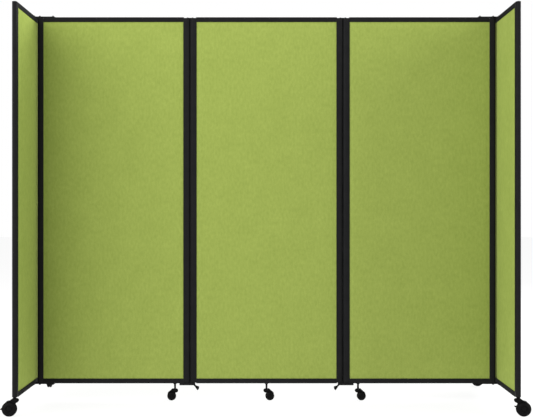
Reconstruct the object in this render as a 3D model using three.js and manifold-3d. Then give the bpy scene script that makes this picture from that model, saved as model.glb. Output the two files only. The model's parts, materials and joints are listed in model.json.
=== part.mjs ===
// Free-standing folding fabric partition on casters: three panels in line, with a full-size
// panel set square across each end. Millimetres, +Z up. The origin is on the floor under the
// middle of the centre panel, +X runs along the row and -Y faces the viewer.
import * as THREE from 'three';
import { mergeVertices, toCreasedNormals } from 'three/addons/utils/BufferGeometryUtils.js';
import Module from 'manifold-3d';

const wasm = await Module();
wasm.setup();

// Driving sizes
const frameThickness = 25.4;
const frameTop = 2083;
const pivotSpan = 805; // between the two edge axes of one panel
const linkPitch = 27; // between the two pivots of an in-line hinge
const endOffset = 30; // from an end panel's middle plane to the axis it turns on

// Clearances
const fitGap = 0.3; // between pieces that seat on each other
const cutOverrun = 1;

// Uprights and rails
const uprightInboard = 22.5; // from the edge axis to the side that holds the board
const railHeight = 26;
const railCapThickness = 4; // the rail's tongue over the end of an upright
const railCapReach = 2.5;
const channelDepth = 10;
const railSlotDepth = 12;
const boreDepth = 62;

// Fabric-covered boards
const boardThickness = 20.4;

// Pins and in-line hinges
const pinRadius = 5;
const pinLength = 40;
const linkHalfWidth = 6.5;
const linkThickness = 2;
const rivetRadius = 5;
const rivetHeight = 1.7;
const barHalfWidth = 12;
const barThickness = 10.4;
const barLongReach = 44; // past the outer pivot
const barShortReach = 14; // past the inner pivot
const barSlotWidth = 6.6;
const barSlotLength = 13.5;
const spacerHalfWidth = 9; // of the block between a plate or bar and the uprights' ends

// Toe levers
const leverSetBack = 8; // from the bar's short end to the lever's cross pin
const leverDrop = 6.5; // from the bar's top to the cross pin
const leverEyeRadius = 4;
const leverArmThickness = 9;
const leverArmLength = 21;
const leverSlope = THREE.MathUtils.degToRad(-44);
const leverWidth = 6;
const leverPinRadius = 1.6;
const toeHeadWidth = 15;
const toeHeelReach = 16; // these five are from the end of the arm's middle line
const toeHeelDrop = 8.8;
const toeTipReach = 17.2;
const toeCrestReach = 9.6;
const toeCrestRise = 10.8;

// End brackets
const bracketThickness = 4;
const bracketHalfWidth = 11;
const bracketLockReach = 72; // from the pivot to the lock screw
const bracketHeadHalfDepth = 10;
const bracketHeadHalfWidth = 24;
const boltHeadRadius = 5;
const boltHeadHeight = 5;
const screwSpacing = 30;
const screwHeadRadius = 5;
const screwHeadHeight = 5;
const screwShankRadius = 2.5;
const screwShankLength = 11;

// Casters, each set of sizes in the caster's own frame: the stem's axis at zero, the wheels at +X.
// The head rises from the top of the hood, and the throat from the axle. The hood runs from
// hoodRoot, inside the neck, to hoodEnd, and the sloping back meets it at backAngle.
const endCaster = {
  wheelRadius: 37.5,
  wheelWidth: 12,
  trail: 26,
  webThickness: 3.2,
  webRadius: 30,
  wheelGap: 7,
  axleRadius: 4,
  hubRadius: 10,
  hubDish: 2.5,
  rimWidth: 19,
  treadWidth: 4.5,
  treadBevel: 1.2,
  shoulderRise: 17,
  stemRadius: 5,
  headRise: 13.7,
  headReach: 7,
  socketDepth: 21,
  noseRadius: 9.6,
  noseReach: 20,
  noseDrop: 2.4,
  crestReach: 8,
  throatReach: 4,
  throatRise: 25,
  neckWidth: 24,
  hoodWidth: 29,
  hoodGap: 0.8,
  hoodThickness: 2,
  hoodRoot: THREE.MathUtils.degToRad(128),
  backAngle: THREE.MathUtils.degToRad(88),
  hoodEnd: THREE.MathUtils.degToRad(68),
};
const smallCaster = {
  wheelRadius: 24,
  wheelWidth: 11,
  trail: 18,
  webThickness: 7,
  webRadius: 19,
  wheelGap: 8,
  axleRadius: 3,
  hubRadius: 6.5,
  hubDish: 1.6,
  rimWidth: 11.5,
  treadWidth: 4,
  treadBevel: 0.9,
  shoulderRise: 10,
  stemRadius: 5.55,
  headRise: 12.5,
  headReach: 6,
  socketDepth: 17,
  noseRadius: 9.5,
  noseReach: 16.5,
  noseDrop: 0.8,
  crestReach: 14,
  throatReach: 2,
  throatRise: 17,
  neckWidth: 18,
  hoodWidth: 28,
  hoodGap: 0.8,
  hoodThickness: 1.7,
  hoodRoot: THREE.MathUtils.degToRad(122),
  backAngle: THREE.MathUtils.degToRad(55),
  hoodEnd: THREE.MathUtils.degToRad(36),
};
const collarHeight = 5.4;
const stemInUpright = 55;
const stemInRail = 12.5;
const collarTopRadius = 10.5;
const collarFootRadius = 7;
const nutRadius = 9;
const nutHeight = 5;
const smallCasterInset = 68.7; // from the hinge axis of an outer panel

// Brake pedals of the end casters
const pedalEyeRadius = 8;
const pedalThickness = 2.8;
const pedalArmHeight = 7;
const pedalTabWidth = 22;
const pedalTabGap = 1.5;
const pedalTipShare = 0.25; // of the arm's height
const sidePlayShare = 1 / 12; // of the spare width between the wheels, beside web and pedal
const pedalHeelReach = 6;
const pedalToeReach = 9;
const pedalHeelAngle = THREE.MathUtils.degToRad(0);
const pedalToeAngle = THREE.MathUtils.degToRad(164);

// How far each caster stands turned about its stem, from +X, in degrees
const endCasterTurns = { frontLeft: 184, rearLeft: 266, frontRight: -3, rearRight: 155 };
const smallCasterTurns = { left: 186, centre: 5, right: 3 };

const roundSteps = 24;
const pinSteps = 12;
const arcSteps = 6;

const edgeRadius = frameThickness / 2;
const halfSpan = pivotSpan / 2;
const uprightBottom = headOf(endCaster) + collarHeight + 2 * fitGap;
const frameBottom = uprightBottom - railCapThickness;
const uprightTop = frameTop - railCapThickness;
const outerPivot = halfSpan + linkPitch + pivotSpan;
const endPlane = outerPivot + endOffset;
const boreRadius = pinRadius + fitGap;
const turningRoom = uprightInboard - railCapReach - fitGap; // from a pivot to the rail's tongue
const spacerReach = Math.sqrt(turningRoom ** 2 - spacerHalfWidth ** 2);

const blackSteel = new THREE.MeshStandardMaterial({ color: 0x242427, roughness: 0.45, metalness: 0.6 });
const blackPlastic = new THREE.MeshStandardMaterial({ color: 0x1b1b1d, roughness: 0.55, metalness: 0 });
const darkZinc = new THREE.MeshStandardMaterial({ color: 0x303034, roughness: 0.35, metalness: 0.8 });
const greenFabric = new THREE.MeshStandardMaterial({ color: 0x9bab53, roughness: 0.95, metalness: 0 });

// The height of the flat top of a caster's housing
function headOf(c) {
  return 2 * c.wheelRadius + c.hoodGap + c.hoodThickness + c.headRise;
}

// A closed three.js geometry as a solid
function solidOf(geometry) {
  const bare = geometry.clone();
  bare.deleteAttribute('normal');
  bare.deleteAttribute('uv');
  const merged = mergeVertices(bare);
  const vertProperties = new Float32Array(merged.attributes.position.array);
  const triVerts = new Uint32Array(merged.index.array);
  return new wasm.Manifold(new wasm.Mesh({ numProp: 3, vertProperties, triVerts }));
}

// A solid as a geometry with smooth rounds and sharp edges
function geometryOf(solid) {
  const { numProp, vertProperties, triVerts } = solid.getMesh();
  const geometry = new THREE.BufferGeometry();
  const positions = new Float32Array((vertProperties.length / numProp) * 3);
  for (let i = 0; i < positions.length / 3; i += 1) {
    positions.set(vertProperties.subarray(i * numProp, i * numProp + 3), i * 3);
  }
  geometry.setAttribute('position', new THREE.BufferAttribute(positions, 3));
  geometry.setIndex(new THREE.BufferAttribute(triVerts, 1));
  return toCreasedNormals(geometry, Math.PI / 6);
}

function join(...solids) {
  return solids.reduce((whole, solid) => whole.add(solid));
}

function cut(solid, ...tools) {
  return tools.reduce((left, tool) => left.subtract(tool), solid);
}

function meshOf(name, solid, material) {
  const mesh = new THREE.Mesh(geometryOf(solid), material);
  mesh.name = name;
  return mesh;
}

// A box from its lowest to its highest corner
function block([x0, y0, z0], [x1, y1, z1]) {
  const box = new THREE.BoxGeometry(x1 - x0, y1 - y0, z1 - z0);
  return solidOf(box.translate((x0 + x1) / 2, (y0 + y1) / 2, (z0 + z1) / 2));
}

// An upright cylinder from z0 to z1
function post(x, y, radius, z0, z1) {
  const cylinder = new THREE.CylinderGeometry(radius, radius, z1 - z0, pinSteps);
  return solidOf(cylinder.rotateX(Math.PI / 2).translate(x, y, (z0 + z1) / 2));
}

// A cylinder along Y, centred on y = 0
function crossPin(x, z, radius, length, steps = pinSteps) {
  const cylinder = new THREE.CylinderGeometry(radius, radius, length, steps);
  return solidOf(cylinder.translate(x, 0, z));
}

// A plan outline raised from z0 to z1
function plate(shape, z0, z1) {
  const settings = { depth: z1 - z0, bevelEnabled: false, curveSegments: arcSteps };
  return solidOf(new THREE.ExtrudeGeometry(shape, settings).translate(0, 0, z0));
}

// A side outline, drawn in X and Z, with its thickness from y0 to y1
function slab(shape, y0, y1) {
  const settings = { depth: y1 - y0, bevelEnabled: false, curveSegments: arcSteps };
  const geometry = new THREE.ExtrudeGeometry(shape, settings).rotateX(Math.PI / 2);
  return solidOf(geometry.translate(0, y1, 0));
}

function outline(points) {
  return new THREE.Shape(points.map(([x, y]) => new THREE.Vector2(x, y)));
}

// An upright whose round edge is at +X: bores take the hinge pins or a caster stem
function uprightSolid(borings) {
  const channelHalf = boardThickness / 2 + fitGap;
  const channelFloor = channelDepth - uprightInboard;
  const shape = new THREE.Shape();
  shape.moveTo(-uprightInboard, -edgeRadius);
  shape.lineTo(0, -edgeRadius);
  shape.absarc(0, 0, edgeRadius, -Math.PI / 2, Math.PI / 2, false);
  shape.lineTo(-uprightInboard, edgeRadius);
  shape.lineTo(-uprightInboard, channelHalf);
  shape.lineTo(channelFloor, channelHalf);
  shape.lineTo(channelFloor, -channelHalf);
  shape.lineTo(-uprightInboard, -channelHalf);
  const ends = {
    top: [uprightTop - boreDepth, uprightTop + cutOverrun],
    bottom: [uprightBottom - cutOverrun, uprightBottom + boreDepth],
  };
  const bores = borings.map((end) => post(0, 0, boreRadius, ...ends[end]));
  return cut(plate(shape, uprightBottom, uprightTop), ...bores);
}

// A rail between two uprights, with a tongue over the end of each and a slot for the board
function railSolid(outerFace, inward, holes) {
  const halfBody = halfSpan - uprightInboard - fitGap;
  const halfCapped = halfSpan - uprightInboard + railCapReach;
  const capInner = outerFace + inward * (railCapThickness - fitGap);
  const railInner = outerFace + inward * railHeight;
  const shape = outline([
    [-halfCapped, outerFace],
    [halfCapped, outerFace],
    [halfCapped, capInner],
    [halfBody, capInner],
    [halfBody, railInner],
    [-halfBody, railInner],
    [-halfBody, capInner],
    [-halfCapped, capInner],
  ]);
  const slotHalf = boardThickness / 2 + fitGap;
  const slotFloor = railInner - inward * railSlotDepth;
  const slotMouth = railInner + inward * cutOverrun;
  const slot = block(
    [-halfSpan, -slotHalf, Math.min(slotFloor, slotMouth)],
    [halfSpan, slotHalf, Math.max(slotFloor, slotMouth)],
  );
  const bores = holes.map(({ x, radius, depth }) => {
    const from = outerFace - inward * cutOverrun;
    const to = outerFace + inward * depth;
    return post(x, 0, radius, Math.min(from, to), Math.max(from, to));
  });
  return cut(slab(shape, -edgeRadius, edgeRadius), slot, ...bores);
}

function boardSolid() {
  const halfWidth = halfSpan - uprightInboard + channelDepth - fitGap;
  const slotFloor = railHeight - railSlotDepth + fitGap;
  return block(
    [-halfWidth, -boardThickness / 2, frameBottom + slotFloor],
    [halfWidth, boardThickness / 2, frameTop - slotFloor],
  );
}

// One framed panel in its own frame: the edge axes at x = -halfSpan and +halfSpan
function framedPanel(name, sides, borings, holes) {
  const panel = new THREE.Group();
  sides.forEach((side, i) => {
    const upright = meshOf(`${name}_${side}_upright`, uprightSolid(borings[i]), blackSteel);
    upright.position.x = i === 0 ? -halfSpan : halfSpan;
    upright.rotation.z = i === 0 ? Math.PI : 0;
    panel.add(upright);
  });
  panel.add(meshOf(`${name}_top_rail`, railSolid(frameTop, -1, holes.top), blackSteel));
  panel.add(meshOf(`${name}_bottom_rail`, railSolid(frameBottom, 1, holes.bottom), blackSteel));
  panel.add(meshOf(`${name}_fabric_board`, boardSolid(), greenFabric));
  return panel;
}

// A strip with round ends, from x0 to x1 between the centres of its ends
function obround(x0, x1, halfWidth) {
  const shape = new THREE.Shape();
  shape.moveTo(x0, -halfWidth);
  shape.lineTo(x1, -halfWidth);
  shape.absarc(x1, 0, halfWidth, -Math.PI / 2, Math.PI / 2, false);
  shape.lineTo(x0, halfWidth);
  shape.absarc(x0, 0, halfWidth, Math.PI / 2, (3 * Math.PI) / 2, false);
  return shape;
}

// The top link of an in-line hinge: the inner pivot at zero, the outer one at -linkPitch
function topLinkSolid() {
  const foot = uprightTop + fitGap;
  const top = foot + linkThickness;
  const pins = [0, -linkPitch].flatMap((x) => [
    post(x, 0, pinRadius, uprightTop - pinLength, top - fitGap),
    post(x, 0, rivetRadius, top - fitGap, top + rivetHeight),
  ]);
  return join(plate(obround(-linkPitch, 0, linkHalfWidth), foot, top), ...pins);
}

// The bottom bar of an in-line hinge, forked at its short end for the toe lever
function lockBarSolid() {
  const barTop = frameBottom - fitGap;
  const barFoot = barTop - barThickness;
  const left = -linkPitch - barLongReach;
  const shape = outline([
    [left, -barHalfWidth],
    [barShortReach, -barHalfWidth],
    [barShortReach, barHalfWidth],
    [left, barHalfWidth],
  ]);
  const spacer = block(
    [-linkPitch - spacerReach, -spacerHalfWidth, barTop - fitGap],
    [Math.min(barShortReach, spacerReach), spacerHalfWidth, uprightBottom - fitGap],
  );
  const pins = [0, -linkPitch].map((x) =>
    post(x, 0, pinRadius, barTop - fitGap, uprightBottom + pinLength));
  const slot = block(
    [barShortReach - barSlotLength, -barSlotWidth / 2, barFoot - cutOverrun],
    [barShortReach + cutOverrun, barSlotWidth / 2, barTop + cutOverrun],
  );
  const pinHole = crossPin(
    barShortReach - leverSetBack,
    barTop - leverDrop,
    leverPinRadius + fitGap,
    barHalfWidth * 2 + cutOverrun,
  );
  const bar = cut(plate(shape, barFoot, barTop), slot, pinHole);
  return join(bar, spacer, ...pins);
}

// A toe lever about its cross pin at zero: an arm sloping down to a wedge for the foot
function toeLeverSolid() {
  const half = leverArmThickness / 2;
  const arm = outline([
    [0, -half],
    [leverArmLength, -half],
    [leverArmLength, half],
    [0, half],
  ]);
  const head = outline([
    [leverArmLength - half, -half],
    [leverArmLength + toeHeelReach, -toeHeelDrop],
    [leverArmLength + toeTipReach, 0],
    [leverArmLength + toeCrestReach, toeCrestRise],
    [leverArmLength - half, half],
  ]);
  const flat = join(
    crossPin(0, 0, leverEyeRadius, leverWidth),
    slab(arm, -leverWidth / 2, leverWidth / 2),
    slab(head, -toeHeadWidth / 2, toeHeadWidth / 2),
  );
  const turned = geometryOf(flat).rotateY(-leverSlope);
  return join(solidOf(turned), crossPin(0, 0, leverPinRadius, barHalfWidth * 2));
}

// Both links of one in-line hinge, with its toe lever, about the inner pivot
function inlineHinge(side) {
  const hinge = new THREE.Group();
  hinge.add(meshOf(`${side}_hinge_top_link`, topLinkSolid(), darkZinc));
  hinge.add(meshOf(`${side}_hinge_lock_bar`, lockBarSolid(), blackSteel));
  const lever = meshOf(`${side}_hinge_toe_lever`, toeLeverSolid(), blackPlastic);
  lever.position.set(barShortReach - leverSetBack, 0, frameBottom - fitGap - leverDrop);
  hinge.add(lever);
  return hinge;
}

// A bracket about its pivot: a tee over the end panel's rail and an arm over the next panel.
// It is drawn for the top, and turned over for the bottom.
function bracketSolid(outward, seat, uprightEnd) {
  const shape = new THREE.Shape();
  const innerEdge = bracketHeadHalfDepth - endOffset;
  const outerEdge = -bracketHeadHalfDepth - endOffset;
  shape.moveTo(outerEdge, -bracketHeadHalfWidth);
  shape.lineTo(innerEdge, -bracketHeadHalfWidth);
  shape.lineTo(innerEdge, -bracketHalfWidth);
  shape.lineTo(bracketLockReach, -bracketHalfWidth);
  shape.absarc(bracketLockReach, 0, bracketHalfWidth, -Math.PI / 2, Math.PI / 2, false);
  shape.lineTo(innerEdge, bracketHalfWidth);
  shape.lineTo(innerEdge, bracketHeadHalfWidth);
  shape.lineTo(outerEdge, bracketHeadHalfWidth);
  const face = seat + outward * fitGap;
  const back = face + outward * bracketThickness;
  const middle = (face + back) / 2;
  const span = (radius, x, y, from, to) =>
    post(x, y, radius, Math.min(from, to), Math.max(from, to));
  const inwardReach = Math.min(spacerReach, endOffset - edgeRadius - fitGap);
  const spacerFoot = uprightEnd + outward * fitGap;
  const spacer = block(
    [-inwardReach, -spacerHalfWidth, Math.min(spacerFoot, middle)],
    [spacerReach, spacerHalfWidth, Math.max(spacerFoot, middle)],
  );
  const pieces = [
    plate(shape, Math.min(face, back), Math.max(face, back)),
    spacer,
    span(pinRadius, 0, 0, uprightEnd - outward * pinLength, middle),
    span(boltHeadRadius, 0, 0, middle, back + outward * boltHeadHeight),
    span(boltHeadRadius, bracketLockReach, 0, middle, back + outward * boltHeadHeight),
  ];
  for (const y of [-screwSpacing / 2, screwSpacing / 2]) {
    pieces.push(span(screwShankRadius, -endOffset, y, seat - outward * screwShankLength, middle));
    pieces.push(span(screwHeadRadius, -endOffset, y, middle, back + outward * screwHeadHeight));
  }
  return join(...pieces);
}

function endBrackets(side) {
  const brackets = new THREE.Group();
  const top = bracketSolid(1, frameTop, uprightTop);
  const bottom = bracketSolid(-1, frameBottom, uprightBottom);
  brackets.add(meshOf(`${side}_end_top_bracket`, top, darkZinc));
  brackets.add(meshOf(`${side}_end_bottom_bracket`, bottom, darkZinc));
  return brackets;
}

// The side outline shared by a caster's web and its neck
function housingOutline(c) {
  const head = headOf(c);
  const noseX = c.noseRadius - c.noseReach;
  const noseZ = head - c.noseDrop - c.noseRadius;
  const hoodRadius = c.wheelRadius + c.hoodGap + c.hoodThickness;
  const backX = c.trail + hoodRadius * Math.cos(c.backAngle);
  const backZ = c.wheelRadius + hoodRadius * Math.sin(c.backAngle);
  const shape = new THREE.Shape();
  shape.moveTo(noseX, noseZ + c.noseRadius);
  shape.lineTo(-c.headReach, head);
  shape.lineTo(c.crestReach, head);
  shape.lineTo(backX, backZ);
  shape.absarc(c.trail, c.wheelRadius, hoodRadius, c.backAngle, c.hoodEnd, true);
  shape.lineTo(c.trail + c.webRadius, c.wheelRadius);
  shape.absarc(c.trail, c.wheelRadius, c.webRadius, 0, -Math.PI, true);
  shape.lineTo(-c.throatReach, c.wheelRadius + c.throatRise);
  shape.lineTo(noseX, noseZ - c.noseRadius);
  shape.absarc(noseX, noseZ, c.noseRadius, -Math.PI / 2, Math.PI / 2, true);
  return shape;
}

// The side outline of the hood that arches over a caster's two wheels
function hoodOutline(c) {
  const inside = c.wheelRadius + c.hoodGap / 2;
  const outside = c.wheelRadius + c.hoodGap + c.hoodThickness;
  const shape = new THREE.Shape();
  shape.absarc(c.trail, c.wheelRadius, outside, c.hoodRoot, c.hoodEnd, true);
  shape.absarc(c.trail, c.wheelRadius, inside, c.hoodEnd, c.hoodRoot, false);
  return shape;
}

// How far a braked caster's web, and the pedal beside it, reach from the middle towards a wheel
function braceEdge(c) {
  return c.wheelGap / 2 - (c.wheelGap - c.webThickness) * sidePlayShare;
}

// The hood and neck that a caster's wheels hang from. A braked caster's web stands to one side
// of the middle, and its pedal turns on the axle beside it.
function housingSolid(c, braked) {
  const shape = housingOutline(c);
  const webEdge = braked ? braceEdge(c) : c.webThickness / 2;
  const wheelWell = crossPin(
    c.trail,
    c.wheelRadius,
    c.wheelRadius + c.hoodGap,
    c.hoodWidth + cutOverrun,
    roundSteps * 2,
  );
  const neck = slab(shape, -c.neckWidth / 2, c.neckWidth / 2);
  const hood = slab(hoodOutline(c), -c.hoodWidth / 2, c.hoodWidth / 2);
  const web = slab(shape, -webEdge, c.webThickness - webEdge);
  const head = headOf(c);
  const socketFoot = head - c.socketDepth - fitGap;
  const socket = post(0, 0, c.stemRadius + fitGap, socketFoot, head + cutOverrun);
  const axleHole = crossPin(c.trail, c.wheelRadius, c.axleRadius + fitGap, c.neckWidth * 2);
  return cut(join(cut(join(neck, hood), wheelWell), web), socket, axleHole);
}

// Two wheels pressed on one axle, about the axle's middle, each with a narrow tread and a
// shoulder that slopes out to its full width
function wheelSetSolid(c) {
  const inner = c.wheelGap / 2;
  const outer = inner + c.wheelWidth;
  const half = [
    [c.axleRadius, inner],
    [c.wheelRadius - c.treadBevel, inner],
    [c.wheelRadius, inner + c.treadBevel],
    [c.wheelRadius, inner + c.treadWidth],
    [c.wheelRadius - c.shoulderRise, outer],
    [c.wheelRadius - c.rimWidth, outer],
    [c.wheelRadius - c.rimWidth - c.hubDish, outer - c.hubDish],
    [c.hubRadius, outer - c.hubDish / 2],
    [0, outer],
  ];
  const profile = [...half].reverse().map(([r, y]) => [r, -y]).concat(half);
  const points = profile.map(([r, y]) => new THREE.Vector2(r, y));
  return solidOf(new THREE.LatheGeometry(points, roundSteps));
}

// A turned stem from its foot in the housing to its head in the panel
function stemSolid(radius, foot, ringFoot, ringTop, ringRadii, head) {
  const points = [
    [0, foot],
    [radius, foot],
    [radius, ringFoot],
    [ringRadii[0], ringFoot],
    [ringRadii[1], ringTop],
    [radius, ringTop],
    [radius, head],
    [0, head],
  ].map(([r, z]) => new THREE.Vector2(r, z));
  return solidOf(new THREE.LatheGeometry(points, pinSteps).rotateX(Math.PI / 2));
}

// A brake pedal about the axle, its tab turned up from +X by an angle
function pedalSolid(c, angle, reach) {
  const half = pedalArmHeight / 2;
  const tip = half * pedalTipShare;
  const side = braceEdge(c);
  const tabFoot = c.wheelRadius + pedalTabGap;
  const arm = outline([
    [0, -half],
    [tabFoot + half / 2, -half],
    [tabFoot + half / 2, half],
    [0, half],
  ]);
  const tab = outline([
    [tabFoot, -half],
    [tabFoot + reach, -tip],
    [tabFoot + reach, tip],
    [tabFoot, half],
  ]);
  const eye = crossPin(0, 0, pedalEyeRadius, pedalThickness);
  const flat = join(
    solidOf(geometryOf(eye).translate(0, side - pedalThickness / 2, 0)),
    slab(arm, side - pedalThickness, side),
    slab(tab, -pedalTabWidth / 2, pedalTabWidth / 2),
  );
  const bored = cut(flat, crossPin(0, 0, c.axleRadius + fitGap, c.wheelGap * 2));
  return solidOf(geometryOf(bored).rotateY(-angle));
}

// The part of a caster that swivels, turned about its stem
function swivelGroup(name, c, turn, braked) {
  const group = new THREE.Group();
  group.rotation.z = THREE.MathUtils.degToRad(turn);
  group.add(meshOf(`${name}_housing`, housingSolid(c, braked), blackPlastic));
  const wheels = meshOf(`${name}_wheels`, wheelSetSolid(c), blackPlastic);
  wheels.position.set(c.trail, 0, c.wheelRadius);
  group.add(wheels);
  return group;
}

function endCasterGroup(name, x, y, turn, pedalAngle, pedalReach) {
  const c = endCaster;
  const group = new THREE.Group();
  group.position.set(x, y, 0);
  const stem = stemSolid(
    c.stemRadius,
    headOf(c) - c.socketDepth,
    headOf(c) + fitGap,
    uprightBottom - fitGap,
    [collarFootRadius, collarTopRadius],
    uprightBottom + stemInUpright,
  );
  group.add(meshOf(`${name}_stem`, stem, darkZinc));
  const swivel = swivelGroup(name, c, turn, true);
  const pedal = meshOf(`${name}_brake_pedal`, pedalSolid(c, pedalAngle, pedalReach), blackPlastic);
  pedal.position.set(c.trail, 0, c.wheelRadius);
  swivel.add(pedal);
  group.add(swivel);
  return group;
}

function smallCasterGroup(name, x, turn) {
  const c = smallCaster;
  const group = new THREE.Group();
  group.position.set(x, 0, 0);
  const stem = stemSolid(
    c.stemRadius,
    headOf(c) - c.socketDepth,
    frameBottom - fitGap - nutHeight,
    frameBottom - fitGap,
    [nutRadius, nutRadius],
    frameBottom + stemInRail,
  );
  group.add(meshOf(`${name}_stem`, stem, darkZinc));
  group.add(swivelGroup(name, c, turn, false));
  return group;
}

// The three panels in line, each with a small caster under its bottom rail
function mainPanels() {
  const row = new THREE.Group();
  const both = ['top', 'bottom'];
  const panelPitch = pivotSpan + linkPitch;
  const casterReach = halfSpan - smallCasterInset;
  const places = { left: -panelPitch, centre: 0, right: panelPitch };
  const casterPlaces = { left: casterReach, centre: 0, right: -casterReach };
  const holeRadius = smallCaster.stemRadius + fitGap;
  for (const [name, x] of Object.entries(places)) {
    const hole = { x: casterPlaces[name], radius: holeRadius, depth: stemInRail + fitGap };
    const holes = { top: [], bottom: [hole] };
    const panel = framedPanel(name, ['left', 'right'], [both, both], holes);
    panel.add(smallCasterGroup(`${name}_small_caster`, casterPlaces[name], smallCasterTurns[name]));
    panel.position.x = x;
    row.add(panel);
  }
  return row;
}

// A panel set square across one end of the row, on a braked caster at each corner
function endPanel(side, x) {
  const end = new THREE.Group();
  const screwHoles = [-screwSpacing / 2, screwSpacing / 2].map((y) => ({
    x: y,
    radius: screwShankRadius + fitGap,
    depth: screwShankLength + fitGap,
  }));
  const holes = { top: screwHoles, bottom: screwHoles };
  const panel = framedPanel(`${side}_end`, ['front', 'rear'], [['bottom'], ['bottom']], holes);
  panel.rotation.z = Math.PI / 2;
  end.add(panel);
  const turns = {
    front: endCasterTurns[side === 'left' ? 'frontLeft' : 'frontRight'],
    rear: endCasterTurns[side === 'left' ? 'rearLeft' : 'rearRight'],
  };
  for (const [place, y] of [['front', -halfSpan], ['rear', halfSpan]]) {
    const atToe = side === 'right' && place === 'front';
    const angle = atToe ? pedalToeAngle : pedalHeelAngle;
    const reach = atToe ? pedalToeReach : pedalHeelReach;
    end.add(endCasterGroup(`${side}_${place}_caster`, 0, y, turns[place], angle, reach));
  }
  end.position.x = x;
  return end;
}

const divider = new THREE.Group();
divider.add(mainPanels());
for (const [side, sign] of [['left', -1], ['right', 1]]) {
  const facing = sign < 0 ? 0 : Math.PI;
  const hinge = inlineHinge(side);
  hinge.position.x = sign * halfSpan;
  hinge.rotation.z = facing;
  const brackets = endBrackets(side);
  brackets.position.x = sign * outerPivot;
  brackets.rotation.z = facing;
  divider.add(hinge, brackets, endPanel(side, sign * endPlane));
}

export default divider;
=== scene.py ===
# A folding fabric room divider: three panels in line and one set square across each end,
# in black frames on twin-wheel casters. Metres, +Z up, origin on the floor under the middle.
import json
import math
import bmesh
import bpy
from mathutils import Matrix, Vector, noise


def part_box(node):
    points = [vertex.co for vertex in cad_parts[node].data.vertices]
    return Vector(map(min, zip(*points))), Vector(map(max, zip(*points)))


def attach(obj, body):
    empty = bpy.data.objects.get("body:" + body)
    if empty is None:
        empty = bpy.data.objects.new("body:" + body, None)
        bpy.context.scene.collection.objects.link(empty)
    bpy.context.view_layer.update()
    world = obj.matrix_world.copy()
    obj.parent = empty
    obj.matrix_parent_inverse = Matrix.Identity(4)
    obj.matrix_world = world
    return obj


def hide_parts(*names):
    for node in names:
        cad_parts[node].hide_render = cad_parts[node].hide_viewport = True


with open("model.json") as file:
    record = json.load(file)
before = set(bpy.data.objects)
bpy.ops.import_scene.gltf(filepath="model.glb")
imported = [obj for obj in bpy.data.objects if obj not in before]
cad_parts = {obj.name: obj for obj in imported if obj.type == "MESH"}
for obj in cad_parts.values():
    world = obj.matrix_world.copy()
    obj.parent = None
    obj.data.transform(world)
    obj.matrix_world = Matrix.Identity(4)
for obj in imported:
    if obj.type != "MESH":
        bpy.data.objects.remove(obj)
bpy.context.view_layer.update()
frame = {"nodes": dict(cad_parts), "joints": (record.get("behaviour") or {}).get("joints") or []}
scene = bpy.context.scene
nodes = frame["nodes"]
joints = {joint["name"]: joint for joint in frame["joints"]}
fullTurn = 2 * math.pi
halfTurn = math.pi
quarterTurn = math.pi / 2
sides = {"left": 0.0, "right": halfTurn}  # how the left-hand shapes are turned for each end
fitGap = 0.0003  # between pieces that seat on each other
mergeGap = 1e-6  # points nearer than this are one
cadMergeGap = 2e-5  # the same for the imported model's loose triangles
flatLimit = math.radians(1)  # faces that meet flatter than this are one face
sharpLimit = 50  # degrees, past which an edge gets its rim
fineLimit = 25  # the same for shapes with shallow corners
roundSteps = 3  # across the rims that show most

mainPanels = ["left", "centre", "right"]
endPanels = ["left_end", "right_end"]
smallCasters = ["left_small_caster", "centre_small_caster", "right_small_caster"]
endCasters = [f"{side}_{place}_caster" for side in sides for place in ("front", "rear")]


# Mesh helpers: each shape is a bmesh that stands for itself until it is gathered in a piece

def sharpEdges(shape, degrees):
    limit = math.radians(degrees)
    return [edge for edge in shape.edges if edge.is_manifold and edge.calc_face_angle(0) > limit]


def bevelEdges(shape, edges, width, segments=2):
    bmesh.ops.bevel(shape, geom=edges, offset=width, offset_type="OFFSET", affect="EDGES",
                    segments=segments, profile=0.5, material=-1, clamp_overlap=True)


def moved(shape, *places):
    for place in places:
        bmesh.ops.transform(shape, matrix=place, verts=shape.verts)
    return shape


def shifted(x=0.0, y=0.0, z=0.0):
    return Matrix.Translation((x, y, z))


def turned(angle, axis="Z"):
    return Matrix.Rotation(angle, 4, axis)


standing = turned(quarterTurn, "X")  # brings a shape's plan up into a side view


def gathered(*shapes):
    whole = bmesh.new()
    for shape in shapes:
        mesh = bpy.data.meshes.new("part")
        shape.to_mesh(mesh)
        shape.free()
        whole.from_mesh(mesh)
        bpy.data.meshes.remove(mesh)
    return whole


# A run is a corner (x, y), or an arc (x, y, radius, start, end, steps) swept with a spin
def outlineLoop(shape, runs):
    loop = []
    for run in runs:
        if len(run) == 2:
            loop.append(shape.verts.new((*run, 0)))
            continue
        x, y, radius, start, end, steps = run
        first = shape.verts.new((x + radius * math.cos(start), y + radius * math.sin(start), 0))
        count = len(shape.verts)
        bmesh.ops.spin(shape, geom=[first], cent=(x, y, 0), axis=(0, 0, 1), angle=end - start,
                       steps=steps)
        shape.verts.ensure_lookup_table()
        loop.append(first)
        loop.extend(shape.verts[count:])
    return loop


# A plan outline raised from one height to another, with its rims softened
def raised(runs, low, high, rim=0.0, rimSteps=2, rimAngle=sharpLimit):
    shape = bmesh.new()
    face = shape.faces.new(outlineLoop(shape, runs))
    bmesh.ops.translate(shape, verts=shape.verts, vec=(0, 0, low))
    grown = bmesh.ops.extrude_face_region(shape, geom=[face])["geom"]
    top = [item for item in grown if isinstance(item, bmesh.types.BMVert)]
    bmesh.ops.translate(shape, verts=top, vec=(0, 0, high - low))
    bmesh.ops.recalc_face_normals(shape, faces=shape.faces)
    if rim:
        bevelEdges(shape, sharpEdges(shape, rimAngle), rim, rimSteps)
    return shape


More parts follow.
